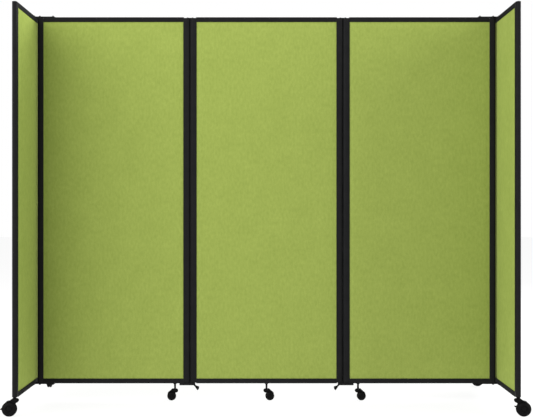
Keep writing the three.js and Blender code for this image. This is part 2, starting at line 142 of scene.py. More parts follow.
# A turned shape about Z from a profile of (radius, height)
def spun(profile, rim=0.0, steps=32, rimAngle=30):
    shape = bmesh.new()
    points = [shape.verts.new((radius, 0, height)) for radius, height in profile]
    lines = [shape.edges.new(pair) for pair in zip(points, points[1:])]
    bmesh.ops.spin(shape, geom=points + lines, cent=(0, 0, 0), axis=(0, 0, 1), angle=fullTurn,
                   steps=steps, use_merge=True)
    bmesh.ops.remove_doubles(shape, verts=shape.verts, dist=mergeGap)
    bmesh.ops.recalc_face_normals(shape, faces=shape.faces)
    if rim:
        bevelEdges(shape, sharpEdges(shape, rimAngle), rim)
    return shape


def rod(radius, low, high, rim=0.0, steps=24):
    return spun([(0, low), (radius, low), (radius, high), (0, high)], rim, steps)


socketLook = {
    "corners": 6,
    "widthShare": 0.52,  # of the head's radius
    "depthShare": 0.55,  # of its height
}


# A screw head with a hexagonal socket, its seat at z = 0
def socketHead(radius, height, rim):
    corners = socketLook["corners"]
    across = radius * socketLook["widthShare"]
    shape = rod(radius, 0, height)
    bmesh.ops.dissolve_limit(shape, angle_limit=flatLimit, verts=shape.verts, edges=shape.edges)
    bevelEdges(shape, sharpEdges(shape, sharpLimit), rim, roundSteps)
    top = max(shape.faces, key=lambda face: face.calc_center_median().z)
    hexagon = bmesh.ops.create_circle(shape, segments=corners, radius=across, cap_ends=False,
                                      matrix=shifted(z=height))["verts"]
    outer = list(top.edges)
    shape.faces.remove(top)
    inner = list({edge for vert in hexagon for edge in vert.link_edges})
    bmesh.ops.bridge_loops(shape, edges=outer + inner)
    floor = shape.faces.new(hexagon)
    grown = bmesh.ops.extrude_face_region(shape, geom=[floor])["geom"]
    sunk = [item for item in grown if isinstance(item, bmesh.types.BMVert)]
    bmesh.ops.translate(shape, verts=sunk, vec=(0, 0, -height * socketLook["depthShare"]))
    lid = [face for face in shape.faces if len(face.verts) == corners
           and abs(face.calc_center_median().z - height) < mergeGap]
    bmesh.ops.delete(shape, geom=lid, context="FACES_ONLY")
    bmesh.ops.recalc_face_normals(shape, faces=shape.faces)
    return shape


# A low domed head, its seat at z = 0
def domedHead(radius, height, steps=5):
    angles = [step * quarterTurn / steps for step in range(steps)]
    dome = [(radius * math.cos(angle), height * math.sin(angle)) for angle in angles]
    return spun([(0, -fitGap), (radius, -fitGap)] + dome + [(0, height)])


# A CAD node's own shape, merged to clean faces, with its rims softened
def mergedCopy(node, rim):
    shape = bmesh.new()
    shape.from_mesh(nodes[node].data)
    bmesh.ops.remove_doubles(shape, verts=shape.verts, dist=cadMergeGap)
    bmesh.ops.dissolve_limit(shape, angle_limit=flatLimit, verts=shape.verts, edges=shape.edges)
    shape.normal_update()
    bevelEdges(shape, sharpEdges(shape, sharpLimit), rim)
    return shape


# A finish may be a list: faces choose among them by index, and take the first unless they choose another
def addPiece(name, shape, finish, body, *replaced, smooth=32):
    mesh = bpy.data.meshes.new(name)
    shape.to_mesh(mesh)
    shape.free()
    mesh.shade_smooth()
    mesh.set_sharp_from_angle(angle=math.radians(smooth))
    wanted = finish if isinstance(finish, list) else [finish]
    for each in wanted:
        mesh.materials.append(finishes[each])
    piece = bpy.data.objects.new(name, mesh)
    scene.collection.objects.link(piece)
    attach(piece, body)
    if replaced:
        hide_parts(*replaced)
    return piece


# Finishes

def startFinish(name):
    material = bpy.data.materials.new(name)
    material.use_nodes = True
    tree = material.node_tree
    return material, tree, tree.nodes["Principled BSDF"]


# Noise on object coordinates. The stretch makes it longer along some of the axes.
def addNoise(tree, scale, detail, rough, stretch=(1, 1, 1)):
    place = tree.nodes.new("ShaderNodeTexCoord")
    mapping = tree.nodes.new("ShaderNodeMapping")
    mapping.inputs["Scale"].default_value = stretch
    tree.links.new(place.outputs["Object"], mapping.inputs["Vector"])
    pattern = tree.nodes.new("ShaderNodeTexNoise")
    pattern.inputs["Scale"].default_value = scale
    pattern.inputs["Detail"].default_value = detail
    pattern.inputs["Roughness"].default_value = rough
    tree.links.new(mapping.outputs["Vector"], pattern.inputs["Vector"])
    return pattern.outputs["Fac"]


def addRange(tree, source, low, high, fromLow=0.3, fromHigh=0.7):
    node = tree.nodes.new("ShaderNodeMapRange")
    node.inputs["From Min"].default_value = fromLow
    node.inputs["From Max"].default_value = fromHigh
    node.inputs["To Min"].default_value = low
    node.inputs["To Max"].default_value = high
    tree.links.new(source, node.inputs["Value"])
    return node.outputs["Result"]


def addMath(tree, operation, first, second):
    node = tree.nodes.new("ShaderNodeMath")
    node.operation = operation
    for socket, value in zip(node.inputs, (first, second)):
        if isinstance(value, (int, float)):
            socket.default_value = value
        else:
            tree.links.new(value, socket)
    return node.outputs[0]


def addMix(tree, factor, first, second):
    node = tree.nodes.new("ShaderNodeMix")
    node.data_type = "RGBA"
    tree.links.new(factor, node.inputs["Factor"])
    for key, value in (("A", first), ("B", second)):
        socket = [item for item in node.inputs if item.name == key and item.type == "RGBA"][0]
        if isinstance(value, tuple):
            socket.default_value = (*value, 1)
        else:
            tree.links.new(value, socket)
    return [item for item in node.outputs if item.type == "RGBA"][0]


def addBump(tree, shader, height, strength, distance, normal=None):
    node = tree.nodes.new("ShaderNodeBump")
    node.inputs["Strength"].default_value = strength
    node.inputs["Distance"].default_value = distance
    tree.links.new(height, node.inputs["Height"])
    if normal is not None:
        tree.links.new(normal, node.inputs["Normal"])
    tree.links.new(node.outputs["Normal"], shader.inputs["Normal"])
    return node.outputs["Normal"]


# Noises are a scale, a detail and a roughness, and may have a stretch. Bumps are a strength and a height.
feltLook = {
    "dark": (0.2228, 0.2810, 0.0573),
    "light": (0.2752, 0.3380, 0.0757),
    "fibres": (1100, 4, 0.7),
    "fibreBump": (0.5, 0.00025),
    "fibreShade": (0.84, 1.06),
    "strands": (420, 3, 0.65, (1, 1, 0.35)),
    "strandBump": (0.4, 0.0004),
    "strandShade": (0.955, 1.055),
    "tufts": (84, 3, 0.5, (1, 1, 0.5)),
    "tuftBump": (0.25, 0.0008),
    "tuftShare": 0.74,  # of the change from dark to light; the clouds make the rest
    "clouds": (9, 3, 0.5),
    "roughness": 0.95,
    "gloss": 0.04,
    "sheen": 0.02,
    "sheenRoughness": 0.45,
}


# Brushed felt: fibres of a millimetre or less, strands, tufts of some millimetres, and slow clouds
def feltFinish():
    look = feltLook
    material, tree, shader = startFinish("felt")
    fibres = addNoise(tree, *look["fibres"])
    strands = addNoise(tree, *look["strands"])
    tufts = addNoise(tree, *look["tufts"])
    clouds = addNoise(tree, *look["clouds"])
    share = look["tuftShare"]
    blend = addMath(tree, "ADD", addRange(tree, tufts, 0, share), addRange(tree, clouds, 0, 1 - share))
    colour = addMix(tree, blend, look["dark"], look["light"])
    depth = addMath(tree, "MULTIPLY", addRange(tree, fibres, *look["fibreShade"]),
                    addRange(tree, strands, *look["strandShade"]))
    shade = tree.nodes.new("ShaderNodeVectorMath")
    shade.operation = "SCALE"
    tree.links.new(colour, shade.inputs[0])
    tree.links.new(depth, shade.inputs["Scale"])
    tree.links.new(shade.outputs[0], shader.inputs["Base Color"])
    shader.inputs["Roughness"].default_value = look["roughness"]
    shader.inputs["Specular IOR Level"].default_value = look["gloss"]
    shader.inputs["Sheen Weight"].default_value = look["sheen"]
    shader.inputs["Sheen Roughness"].default_value = look["sheenRoughness"]
    coarse = addBump(tree, shader, tufts, *look["tuftBump"])
    medium = addBump(tree, shader, strands, *look["strandBump"], coarse)
    addBump(tree, shader, fibres, *look["fibreBump"], medium)
    return material


darkLooks = {
    "powder coat": {
        "dark": (0.0095, 0.0095, 0.0098),
        "light": (0.0120, 0.0120, 0.0124),
        "roughness": (0.54, 0.64),
        "gloss": 0.03,
        "clouds": (25, 4, 0.6),
        "grain": (1500, 2, 0.5),
        "grainBump": (0.25, 0.00015),
    },
    "moulded nylon": {
        "dark": (0.0026, 0.0026, 0.0027),
        "light": (0.0042, 0.0042, 0.0044),
        "roughness": (0.50, 0.64),
        "gloss": 0.06,
        "clouds": (45, 4, 0.6),
        "grain": (2600, 2, 0.5),
        "grainBump": (0.3, 0.0001),
    },
    "black zinc": {
        "dark": (0.0042, 0.0042, 0.0045),
        "light": (0.0072, 0.0072, 0.0078),
        "roughness": (0.42, 0.54),
        "gloss": 0.05,
        "clouds": (70, 4, 0.6),
        "grain": (900, 2, 0.5),
        "grainBump": (0.12, 0.00008),
    },
}


# A dark finish: its colour and roughness drift, and a fine grain catches the light
def darkFinish(name):
    look = darkLooks[name]
    material, tree, shader = startFinish(name)
    clouds = addNoise(tree, *look["clouds"])
    grain = addNoise(tree, *look["grain"])
    colour = addMix(tree, addRange(tree, clouds, 0, 1), look["dark"], look["light"])
    tree.links.new(colour, shader.inputs["Base Color"])
    tree.links.new(addRange(tree, clouds, *look["roughness"]), shader.inputs["Roughness"])
    shader.inputs["Specular IOR Level"].default_value = look["gloss"]
    addBump(tree, shader, grain, *look["grainBump"])
    return material


treadLook = {
    "clean": (0.0028, 0.0028, 0.0029),
    "dusty": (0.0058, 0.0056, 0.0053),
    "dust": (60, 5, 0.65),
    "dustLow": 0.45,  # where in the noise the dust starts and is full
    "dustHigh": 0.8,
    "roughness": (0.55, 0.75),
    "gloss": 0.07,
    "speck": (1800, 2, 0.5),
    "speckBump": (0.2, 0.0002),
}


# The wheels' running surface: dull and moulded, with faint dust
def treadFinish():
    look = treadLook
    material, tree, shader = startFinish("tread")
    dust = addNoise(tree, *look["dust"])
    speck = addNoise(tree, *look["speck"])
    amount = addRange(tree, dust, 0, 1, look["dustLow"], look["dustHigh"])
    tree.links.new(addMix(tree, amount, look["clean"], look["dusty"]), shader.inputs["Base Color"])
    tree.links.new(addRange(tree, dust, *look["roughness"]), shader.inputs["Roughness"])
    shader.inputs["Specular IOR Level"].default_value = look["gloss"]
    addBump(tree, shader, speck, *look["speckBump"])
    return material


coreLook = {
    "dark": (0.20, 0.12, 0.06),
    "light": (0.34, 0.22, 0.12),
    "chips": (350, 4, 0.7),
    "chipBump": (0.3, 0.0003),
    "roughness": 0.85,
}


# The core of a board, pressed wood fibre, which the cloth hides
def coreFinish():
    look = coreLook
    material, tree, shader = startFinish("fibreboard")
    chips = addNoise(tree, *look["chips"])
    colour = addMix(tree, addRange(tree, chips, 0, 1), look["dark"], look["light"])
    tree.links.new(colour, shader.inputs["Base Color"])
    shader.inputs["Roughness"].default_value = look["roughness"]
    addBump(tree, shader, chips, *look["chipBump"])
    return material


finishes = {
    "fabric": feltFinish(),
    "frame": darkFinish("powder coat"),
    "plastic": darkFinish("moulded nylon"),
    "zinc": darkFinish("black zinc"),
    "tread": treadFinish(),
    "core": coreFinish(),
}
print("finishes made:", len(finishes))


# Frames

frameLook = {
    "edgeSteps": 24,
    "lip": 0.0022,  # from the frame's face to the channel
    "channelDepth": 0.010,
    "boreRadius": 0.0053,
    "boreSteps": 24,
    "rim": 0.0006,
    "longEdge": 1.0,  # longer edges than this are the upright's own corners
    "capGap": 0.0002,
    "capRim": 0.0011,
    "tongueReach": 0.0025,  # of the rail, over the upright's end
    "plugDepth": 0.018,
    "plugRise": 0.001,
}


# Each panel's middle and turn, and how far it reaches, from its CAD board
def panelPlace(panel):
    low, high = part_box(f"{panel}_fabric_board")
    size = high - low
    across = size.x < size.y
    middle = (low + high) / 2
    return {
        "place": shifted(middle.x, middle.y) @ turned(quarterTurn if across else 0.0),
        "width": size.y if across else size.x,
        "depth": size.x if across else size.y,
        "low": low.z,
        "high": high.z,
    }


panelPlaces = {panel: panelPlace(panel) for panel in mainPanels + endPanels}
topRailLow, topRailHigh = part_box("centre_top_rail")
bottomRailLow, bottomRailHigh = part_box("centre_bottom_rail")
uprightLow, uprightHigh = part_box("centre_right_upright")
frameTop = topRailHigh.z
frameBottom = bottomRailLow.z
uprightTop = uprightHigh.z
uprightBottom = uprightLow.z
edgeRadius = (uprightHigh.y - uprightLow.y) / 2
inboard = uprightHigh.x - uprightLow.x - edgeRadius
halfSpan = uprightHigh.x - edgeRadius  # from a panel's middle to its edge axis


# An upright with its round edge at +X and a bore down its axis
def uprightShape():
    look = frameLook
    channelHalf = edgeRadius - look["lip"]
    channelFloor = look["channelDepth"] - inboard
    runs = [
        (0, 0, edgeRadius, -quarterTurn, quarterTurn, look["edgeSteps"]),
        (-inboard, edgeRadius),
        (-inboard, channelHalf),
        (channelFloor, channelHalf),
        (channelFloor, -channelHalf),
        (-inboard, -channelHalf),
        (-inboard, -edgeRadius),
    ]
    shape = bmesh.new()
    loop = outlineLoop(shape, runs)
    for first, second in zip(loop, loop[1:] + loop[:1]):
        if shape.edges.get((first, second)) is None:
            shape.edges.new((first, second))
    bmesh.ops.create_circle(shape, segments=look["boreSteps"], radius=look["boreRadius"],
                            cap_ends=False)
    bmesh.ops.triangle_fill(shape, use_beauty=True, use_dissolve=False, edges=shape.edges,
                            normal=(0, 0, 1))
    bmesh.ops.translate(shape, verts=shape.verts, vec=(0, 0, uprightBottom))
    grown = bmesh.ops.extrude_face_region(shape, geom=shape.faces)["geom"]
    top = [item for item in grown if isinstance(item, bmesh.types.BMVert)]
    bmesh.ops.translate(shape, verts=top, vec=(0, 0, uprightTop - uprightBottom))
    bmesh.ops.recalc_face_normals(shape, faces=shape.faces)
    corners = [edge for edge in sharpEdges(shape, sharpLimit) if edge.calc_length() > look["longEdge"]]
    bevelEdges(shape, corners, look["rim"])
    return shape


# The cap that closes the top of a free upright, between the end of the rail's tongue and the edge
def uprightCap():
    look = frameLook
    start = look["tongueReach"] - inboard + look["capGap"]
    runs = [
        (0, 0, edgeRadius, -quarterTurn, quarterTurn, look["edgeSteps"]),
        (start, edgeRadius),
        (start, -edgeRadius),
    ]
    cap = raised(runs, uprightTop + look["capGap"], frameTop, look["capRim"], roundSteps)
    plug = rod(look["boreRadius"] - fitGap, uprightTop - look["plugDepth"],
               uprightTop + look["plugRise"], look["rim"])
    return gathered(cap, plug)


def uprightPlace(panel, outward):
    facing = turned(0 if outward > 0 else halfTurn)
    return panelPlaces[panel]["place"] @ shifted(outward * halfSpan) @ facing


def makeFrames():
    bodies = {"left": "left_panel", "centre": "centre_panel", "right": "right_panel",
              "left_end": "left_end", "right_end": "right_end"}
    for panel, body in bodies.items():
        names = ("front", "rear") if panel in endPanels else ("left", "right")
        for name, outward in zip(names, (-1, 1)):
            node = f"{panel}_{name}_upright"
            shape = moved(uprightShape(), uprightPlace(panel, outward))
            addPiece(f"{node}_tube", shape, "frame", body, node)
            if panel in endPanels:
                cap = moved(uprightCap(), uprightPlace(panel, outward))
                addPiece(f"{node}_cap", cap, "plastic", body)
        for rail in ("top_rail", "bottom_rail"):
            node = f"{panel}_{rail}"
            shape = mergedCopy(node, frameLook["rim"])
            addPiece(f"{node}_bar", shape, "frame", body, node)
    print("frames made")
    return bodies


panelBodies = makeFrames()


# Boards: a core, and a cloth bonded over each face and folded round its edges

clothLook = {
    "thickness": 0.0009,
    "fold": 0.008,  # round the board's edge
    "roll": 0.0018,
    "crown": 0.0013,
    "crownStart": 0.012,
    "crownEnd": 0.034,
    "wave": 0.00035,
    "waveScale": (3.1, 2.3),  # waves in a metre, across and up
    "waveNoise": (1.0, 2.0, 3),  # its fall-off, spread and octaves
    "waveShifts": (0.37, 4.1),  # so that no two cloths are alike
    "columns": 72,
    "rows": 150,
    "crowding": 1.8,  # how much finer the grid is near the edges, where the cloth turns
    "backing": 0.0101,  # from the board's middle to the face of the cloth at its edges
    "coreRim": 0.0012,
    "smooth": 80,  # degrees
}


# How far round the edge a point lies: its place along the face, and its drop behind the face
def roundEdge(along, half):
    look = clothLook
    start = half - look["roll"]
    past = abs(along) - start
    if past <= 0:
        return along, 0.0
    bend = min(past / look["roll"], quarterTurn)
    straight = max(past - look["roll"] * quarterTurn, 0.0)
    reach = start + look["roll"] * math.sin(bend)
    drop = look["roll"] * (1 - math.cos(bend)) + straight
    return math.copysign(reach, along), drop


def smoothStep(value):
    value = max(0.0, min(1.0, value))
    return value * value * (3 - 2 * value)


def clothShape(panel, facing):
    look = clothLook
    place = panelPlaces[panel]
    halfWidth = place["width"] / 2
    halfHeight = (place["high"] - place["low"]) / 2
    middle = (place["high"] + place["low"]) / 2
    unbent = look["roll"] * (quarterTurn - 1) + look["fold"]
    shape = bmesh.new()
    bmesh.ops.create_grid(shape, x_segments=look["columns"], y_segments=look["rows"], size=1)
    panelShift, faceShift = look["waveShifts"]
    seed = Vector((sum(map(ord, panel)) * panelShift, facing * faceShift, 0))
    across, up = look["waveScale"]
    for vert in shape.verts:
        u = math.copysign(1 - (1 - abs(vert.co.x)) ** look["crowding"], vert.co.x)
        v = math.copysign(1 - (1 - abs(vert.co.y)) ** look["crowding"], vert.co.y)
        x, dropX = roundEdge(u * (halfWidth + unbent), halfWidth)
        z, dropZ = roundEdge(v * (halfHeight + unbent), halfHeight)
        inside = min(halfWidth - abs(x), halfHeight - abs(z))
        rise = smoothStep((inside - look["crownStart"]) / (look["crownEnd"] - look["crownStart"]))
        wave = noise.fractal(Vector((x * across, z * up, 0)) + seed, *look["waveNoise"])
        out = look["backing"] + rise * (look["crown"] + wave * look["wave"]) - max(dropX, dropZ)
        vert.co = (x, facing * out, middle + z)
    bmesh.ops.recalc_face_normals(shape, faces=shape.faces)
    ahead = max(shape.faces, key=lambda face: face.calc_area()).normal.y * facing
    if ahead < 0:
        bmesh.ops.reverse_faces(shape, faces=shape.faces)
    return moved(shape, place["place"])


def coreShape(panel):
    look = clothLook
    place = panelPlaces[panel]
    inset = look["thickness"] + fitGap
    halfWidth = place["width"] / 2 - inset
    halfDepth = look["backing"] - inset
    runs = [(-halfWidth, -halfDepth), (halfWidth, -halfDepth), (halfWidth, halfDepth),
            (-halfWidth, halfDepth)]
    shape = raised(runs, place["low"] + inset, place["high"] - inset, look["coreRim"])
    return moved(shape, place["place"])


def makeBoards():
    look = clothLook
    for panel, body in panelBodies.items():
        node = f"{panel}_fabric_board"
        addPiece(f"{panel}_core_board", coreShape(panel), "core", body)
        for name, facing in (("front", -1), ("back", 1)):
            cloth = addPiece(f"{panel}_{name}_cloth", clothShape(panel, facing), "fabric", body,
                             node, smooth=look["smooth"])
            wall = cloth.modifiers.new("thickness", "SOLIDIFY")
            wall.thickness = look["thickness"]
            wall.offset = -1
    print("boards and cloth made")


makeBoards()


# In-line hinges, drawn for the left: the inner pivot at x = 0 and the outer one at -X

pivots = {side: Vector(joints[f"{side}_hinge_inner_fold"]["pos_m"]) for side in sides}
outerPivot = Vector(joints["left_hinge_outer_fold"]["pos_m"])
linkPitch = abs(outerPivot.x - pivots["left"].x)

linkLook = {
    "halfWidth": 0.0065,
    "thickness": 0.002,
    "rivetRadius": 0.0052,
    "rivetHeight": 0.0017,
    "pinRadius": 0.005,
    "pinLength": 0.040,
    "pinRim": 0.0007,
    "rim": 0.0005,
    "endSteps": 14,
}


def topLinkShape():
    look = linkLook
    foot = uprightTop + fitGap
    top = foot + look["thickness"]
    steps = look["endSteps"]
    plan = [
        (0, 0, look["halfWidth"], -quarterTurn, quarterTurn, steps),
        (-linkPitch, 0, look["halfWidth"], quarterTurn, 3 * quarterTurn, steps),
    ]
    parts = [raised(plan, foot, top, look["rim"], roundSteps)]
    for x in (0, -linkPitch):
        parts.append(moved(rod(look["rivetRadius"], -fitGap, look["rivetHeight"], look["rim"]),
                           shifted(x, 0, top)))
        pin = rod(look["pinRadius"], uprightTop - look["pinLength"], top - fitGap, look["rim"])
        parts.append(moved(pin, shifted(x)))
    return gathered(*parts)


# The block between the uprights' ends and the bar or bracket that their pins stand in
spacerLook = {
    "halfWidth": 0.009,
    "reach": 0.0175,
    "corner": 0.0015,
    "cornerSteps": 4,
    "rim": 0.0005,
}


def spacerShape(left, right, low, high):
    look = spacerLook
    half = look["halfWidth"]
    corner = look["corner"]
    steps = look["cornerSteps"]
    plan = [
        (left + corner, corner - half, corner, halfTurn, 3 * quarterTurn, steps),
        (right - corner, corner - half, corner, -quarterTurn, 0, steps),
        (right - corner, half - corner, corner, 0, quarterTurn, steps),
        (left + corner, half - corner, corner, quarterTurn, halfTurn, steps),
    ]
    return raised(plan, low, high, look["rim"])


barLook = {
    "halfWidth": 0.012,
    "thickness": 0.0104,
    "longReach": 0.044,
    "shortReach": 0.014,
    "corner": 0.0035,
    "cornerSteps": 5,
    "hornCorner": 0.00175,  # of the two horns beside the slot
    "hornSteps": 4,
    "slotHalf": 0.0033,
    "slotLength": 0.0135,
    "slotSteps": 8,
    "rim": 0.0009,
    "headRadius": 0.0066,
    "headHeight": 0.0014,
}


def lockBarShape():
    look = barLook
    top = frameBottom - fitGap
    foot = top - look["thickness"]
    left = -linkPitch - look["longReach"]
    right = look["shortReach"]
    half = look["halfWidth"]
    corner = look["corner"]
    horn = look["hornCorner"]
    slot = look["slotHalf"]
    slotEnd = right - look["slotLength"]
    plan = [
        (left + corner, corner - half, corner, halfTurn, 3 * quarterTurn, look["cornerSteps"]),
        (right - horn, horn - half, horn, -quarterTurn, 0, look["hornSteps"]),
        (right, -slot),
        (slotEnd + slot, 0, slot, -quarterTurn, -3 * quarterTurn, look["slotSteps"]),
        (right, slot),
        (right - horn, half - horn, horn, 0, quarterTurn, look["hornSteps"]),
        (left + corner, half - corner, corner, quarterTurn, halfTurn, look["cornerSteps"]),
    ]
    parts = [
        raised(plan, foot, top, look["rim"], roundSteps),
        spacerShape(-linkPitch - spacerLook["reach"], right, top - fitGap, uprightBottom - fitGap),
    ]
    for x in (0, -linkPitch):
        pin = rod(linkLook["pinRadius"], top - fitGap, uprightBottom + linkLook["pinLength"],
                  linkLook["pinRim"])
        head = moved(domedHead(look["headRadius"], look["headHeight"]), turned(halfTurn, "X"),
                     shifted(z=foot))
        parts += [moved(each, shifted(x)) for each in (pin, head)]
    return gathered(*parts)


leverLook = {
    "armThickness": 0.009,
    "armLength": 0.021,
    "slope": math.radians(-44),
    "armWidth": 0.006,
    "eyeRadius": 0.004,
    "eyeRim": 0.0004,
    "pinRadius": 0.0016,
    "pinRim": 0.0003,
    "pinSteps": 16,
    "headWidth": 0.015,
    "heel": (0.016, -0.0088),  # from the end of the arm's middle line, like the two below
    "tip": (0.0172, 0.0),
    "crest": (0.0096, 0.0108),
    "rim": 0.0011,
    "ribs": 4,
    "ribRadius": 0.0006,
    "ribRim": 0.0002,
    "ribSteps": 10,
    "ribInset": 0.0016,  # from the head's sides
    "ribStartShare": 0.9,  # of a rib's pitch, from the crest to the first rib and past the last
    "ribEndShare": 0.9,
}


# A toe lever about its cross pin: an arm that slopes down to a ribbed wedge
def toeLeverShape():
    look = leverLook
    half = look["armThickness"] / 2
    headFoot = look["armLength"] - half
    heel, tip, crest = [(look["armLength"] + look[key][0], look[key][1])
                        for key in ("heel", "tip", "crest")]
    arm = raised([(0, -half), (look["armLength"], -half), (look["armLength"], half), (0, half)],
                 -look["armWidth"] / 2, look["armWidth"] / 2, look["rim"])
    head = raised([(headFoot, -half), heel, tip, crest, (headFoot, half)],
                  -look["headWidth"] / 2, look["headWidth"] / 2, look["rim"], roundSteps, fineLimit)
    eye = rod(look["eyeRadius"], -look["armWidth"] / 2, look["armWidth"] / 2, look["eyeRim"])
    parts = [arm, head, eye]
    ribReach = look["headWidth"] / 2 - look["ribInset"]
    pitches = look["ribs"] - 1 + look["ribStartShare"] + look["ribEndShare"]
    for step in range(look["ribs"]):
        share = (step + look["ribStartShare"]) / pitches
        rib = rod(look["ribRadius"], -ribReach, ribReach, look["ribRim"], look["ribSteps"])
        x = crest[0] + (tip[0] - crest[0]) * share
        z = crest[1] + (tip[1] - crest[1]) * share
        parts.append(moved(rib, shifted(x, z)))
    lever = moved(gathered(*parts), standing, turned(-look["slope"], "Y"))
    pin = rod(look["pinRadius"], -barLook["halfWidth"], barLook["halfWidth"], look["pinRim"],
              look["pinSteps"])
    return gathered(lever, moved(pin, standing))


# Sizes of the dark strip that paints the shade in the hinge slit
slitShadeLook = {
    "halfThickness": 0.00045,
    "halfDepth": 0.004,
    "bead": 0.0006,
    "beadSteps": 10,
}


# A thin dark strip in the slit between the two round edges: painted shade, a sheet standing for the shade
# where the edges meet
def slitShadeShape():
    look = slitShadeLook
    thin = look["halfThickness"]
    deep = look["halfDepth"]
    bead = look["bead"]
    rise = math.asin(thin / bead)
    plan = [
        (0, -deep, bead, quarterTurn + rise, 5 * quarterTurn - rise, look["beadSteps"]),
        (0, deep, bead, rise - quarterTurn, 3 * quarterTurn - rise, look["beadSteps"]),
    ]
    return raised(plan, uprightBottom, uprightTop)


def makeHinges():
    for side, facing in sides.items():
        place = shifted(pivots[side].x) @ turned(facing)
        link = f"{side}_link"
        addPiece(f"{side}_top_link_plate", moved(topLinkShape(), place), "zinc", link,
                 f"{side}_hinge_top_link")
        addPiece(f"{side}_lock_bar_block", moved(lockBarShape(), place), "frame", link,
                 f"{side}_hinge_lock_bar")
        # The strip in the slit is painted shade between the two round edges
        addPiece(f"{side}_painted_shade_strip", moved(slitShadeShape(), shifted(-linkPitch / 2), place), "plastic",
                 link)
        pin = Vector(joints[f"{side}_toe_lever_press"]["pos_m"])
        lever = moved(toeLeverShape(), turned(facing), Matrix.Translation(pin))
        addPiece(f"{side}_toe_lever_wedge", lever, "plastic", f"{side}_lever",
                 f"{side}_hinge_toe_lever")
    print("hinges made")


makeHinges()


# End brackets about the pivot of an end panel, drawn for the left: the arm runs to +X

bracketLook = {
    "thickness": 0.004,
    "halfWidth": 0.011,
    "lockReach": 0.072,
    "headHalfDepth": 0.010,
    "headHalfWidth": 0.024,
    "corner": 0.003,
    "cornerSteps": 5,
    "endSteps": 14,
    "boltRadius": 0.005,
    "boltHeight": 0.005,
    "boltRim": 0.0007,
    "screwSpacing": 0.030,
    "screwRadius": 0.005,
    "screwHeight": 0.005,
    "screwRim": 0.0008,
    "shankRadius": 0.0025,
    "shankLength": 0.011,
    "shankRim": 0.0004,
    "shankSteps": 16,
    "rim": 0.0007,
}
endPivot = Vector(joints["left_end_fold"]["pos_m"])
endOffset = abs(panelPlaces["left_end"]["place"].translation.x) - abs(endPivot.x)


# Drawn outward from a seat at z = 0, with the pivot at x = 0
def bracketShape(uprightDrop):
    look = bracketLook
    inner = look["headHalfDepth"] - endOffset
    outer = -look["headHalfDepth"] - endOffset
    half = look["halfWidth"]
    wide = look["headHalfWidth"]
    corner = look["corner"]
    steps = look["cornerSteps"]
    plan = [
        (outer + corner, corner - wide, corner, halfTurn, 3 * quarterTurn, steps),
        (inner - corner, corner - wide, corner, -quarterTurn, 0, steps),
        (inner + corner, -half - corner, corner, halfTurn, quarterTurn, steps),
        (look["lockReach"], 0, half, -quarterTurn, quarterTurn, look["endSteps"]),
        (inner + corner, half + corner, corner, -quarterTurn, -halfTurn, steps),
        (inner - corner, wide - corner, corner, 0, quarterTurn, steps),
        (outer + corner, wide - corner, corner, quarterTurn, halfTurn, steps),
    ]
    face = fitGap
    back = face + look["thickness"]
    parts = [
        raised(plan, face, back, look["rim"], roundSteps),
        spacerShape(edgeRadius + fitGap - endOffset, spacerLook["reach"], fitGap - uprightDrop,
                    face + fitGap),
        rod(linkLook["pinRadius"], -uprightDrop - linkLook["pinLength"], face + fitGap,
            linkLook["pinRim"]),
    ]
    for x in (0, look["lockReach"]):
        bolt = socketHead(look["boltRadius"], look["boltHeight"], look["boltRim"])
        parts.append(moved(bolt, shifted(x, 0, back)))
    for y in (-look["screwSpacing"] / 2, look["screwSpacing"] / 2):
        screw = socketHead(look["screwRadius"], look["screwHeight"], look["screwRim"])
        shank = rod(look["shankRadius"], -look["shankLength"], face + fitGap, look["shankRim"],
                    look["shankSteps"])
        parts.append(moved(screw, shifted(-endOffset, y, back)))
        parts.append(moved(shank, shifted(-endOffset, y)))
    return gathered(*parts)


def makeBrackets():
    drop = frameTop - uprightTop
    for side, facing in sides.items():
        pivot = Vector(joints[f"{side}_end_fold"]["pos_m"])
        place = shifted(pivot.x) @ turned(facing)
        top = moved(bracketShape(drop), shifted(z=frameTop), place)
        bottom = moved(bracketShape(drop), turned(halfTurn, "X"), shifted(z=frameBottom), place)
        for name, shape in (("top", top), ("bottom", bottom)):
            node = f"{side}_end_{name}_bracket"
            addPiece(f"{node}_plate", shape, "zinc", f"{side}_end", node)
    print("brackets made")


makeBrackets()


# Casters, each drawn with its stem's axis at x = 0 and its wheels at +X

endCasterLook = {
    "wheelRadius": 0.0375,
    "wheelWidth": 0.012,
    "trail": 0.026,
    "web": 0.0032,
    "webRadius": 0.030,
    "gap": 0.007,
    "webSide": 0.00318,  # from the middle to the web's face
    "axleRadius": 0.004,
    "hubRadius": 0.010,
    "dish": 0.0025,
    "rimWidth": 0.019,
    "treadWidth": 0.0045,
    "treadBevel": 0.0012,
    "shoulderRise": 0.017,
    "stemRadius": 0.005,
    "head": 0.0915,
    "headReach": 0.007,
    "noseRadius": 0.0096,
    "noseReach": 0.020,
    "noseDrop": 0.0024,
    "crestReach": 0.008,
    "throatReach": 0.004,
    "throatRise": 0.025,
    "neckWidth": 0.024,
    "hoodWidth": 0.029,
    "hoodGap": 0.0008,
    "hoodThickness": 0.002,
    "hoodRoot": math.radians(128),
    "backAngle": math.radians(88),
    "hoodEnd": math.radians(68),
    "neckRim": 0.0022,
}
